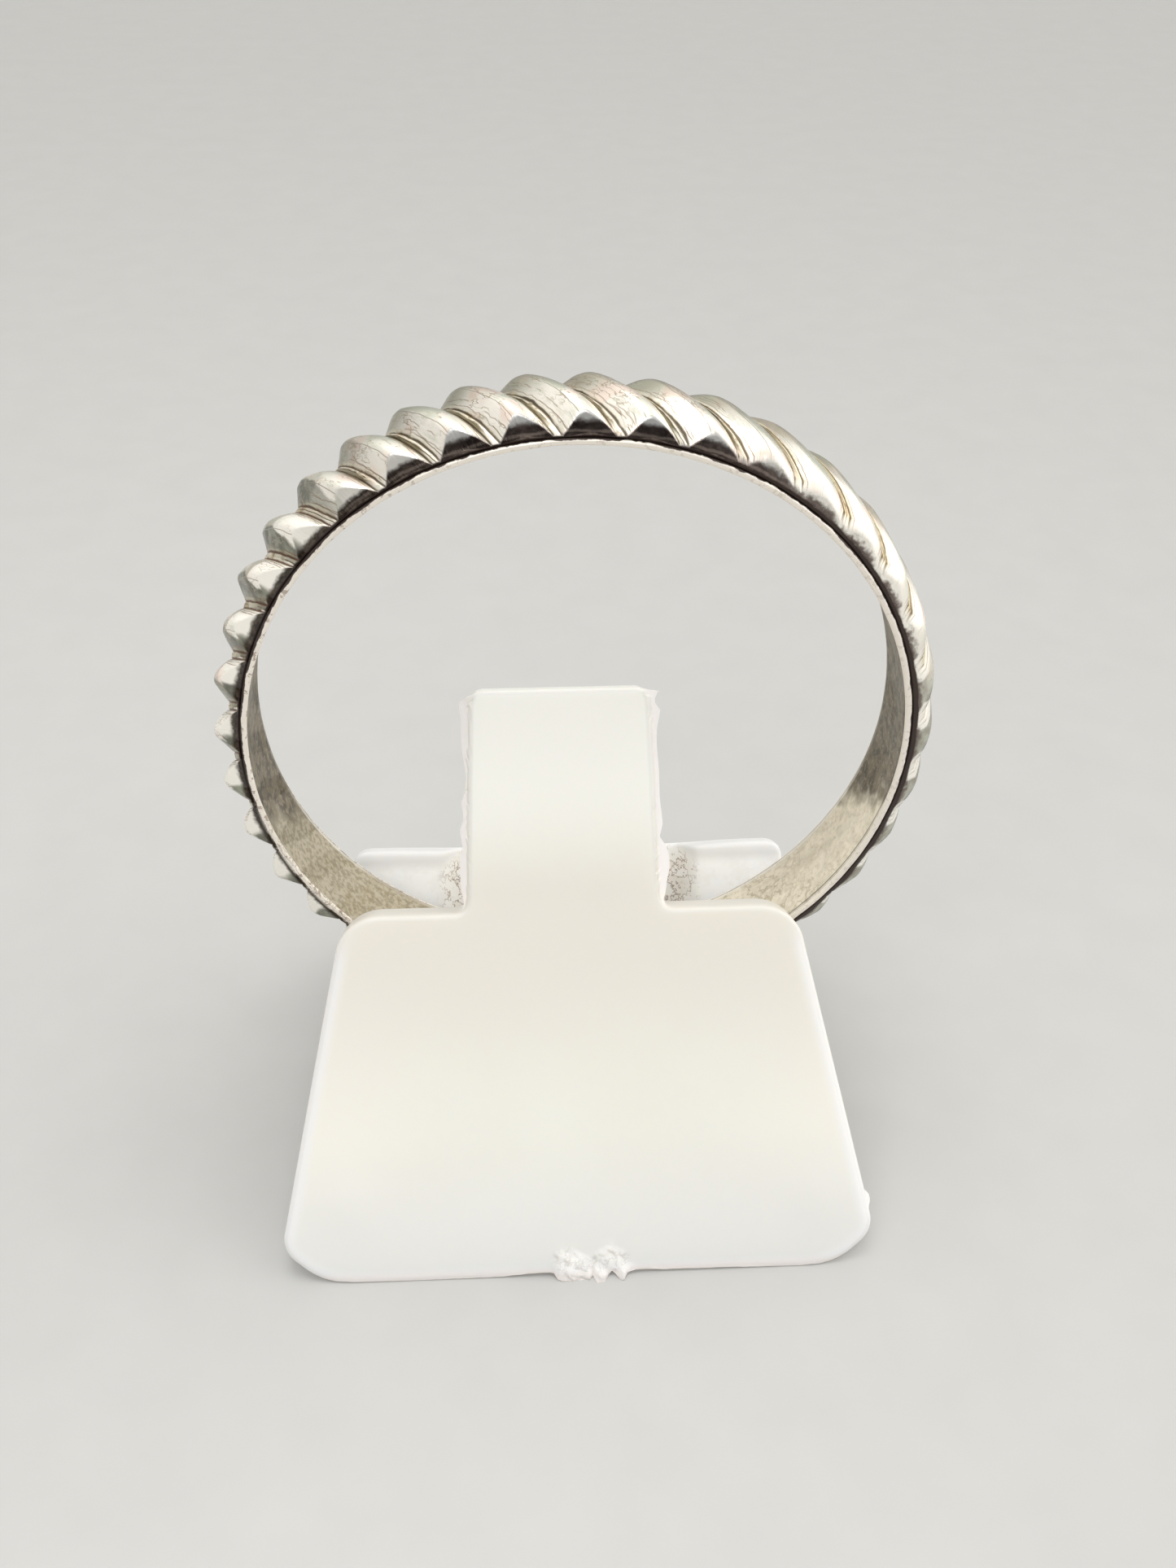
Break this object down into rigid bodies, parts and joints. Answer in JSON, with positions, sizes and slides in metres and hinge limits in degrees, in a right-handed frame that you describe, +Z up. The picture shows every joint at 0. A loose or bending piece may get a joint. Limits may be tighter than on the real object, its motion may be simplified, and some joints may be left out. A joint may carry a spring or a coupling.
{
  "type": "band ring on a display stand",
  "caption": "Silver band ring with slanting rounded lobes, held upright in a small white plastic display stand whose finger passes through the ring.",
  "frame": {"origin": "on the surface that the stand rests on, under the middle of the whole object's box", "axes": "+Z up, +X to the right seen from the front, +Y to the back, along the ring's axis; the stand's front plate and the finger's front face look towards -Y"},
  "size_m": [0.0194, 0.0148, 0.0235],
  "materials": {
    "silver": "worn silver, softly polished on the lobes, warm tarnish in the grooves and inside the bore",
    "white_plastic": "smooth satin moulded white plastic, slightly translucent, with moulding flash at its edges"
  },
  "bodies": {
    "root": {"band": "silver", "stand": "white_plastic"}
  },
  "joints": []
}
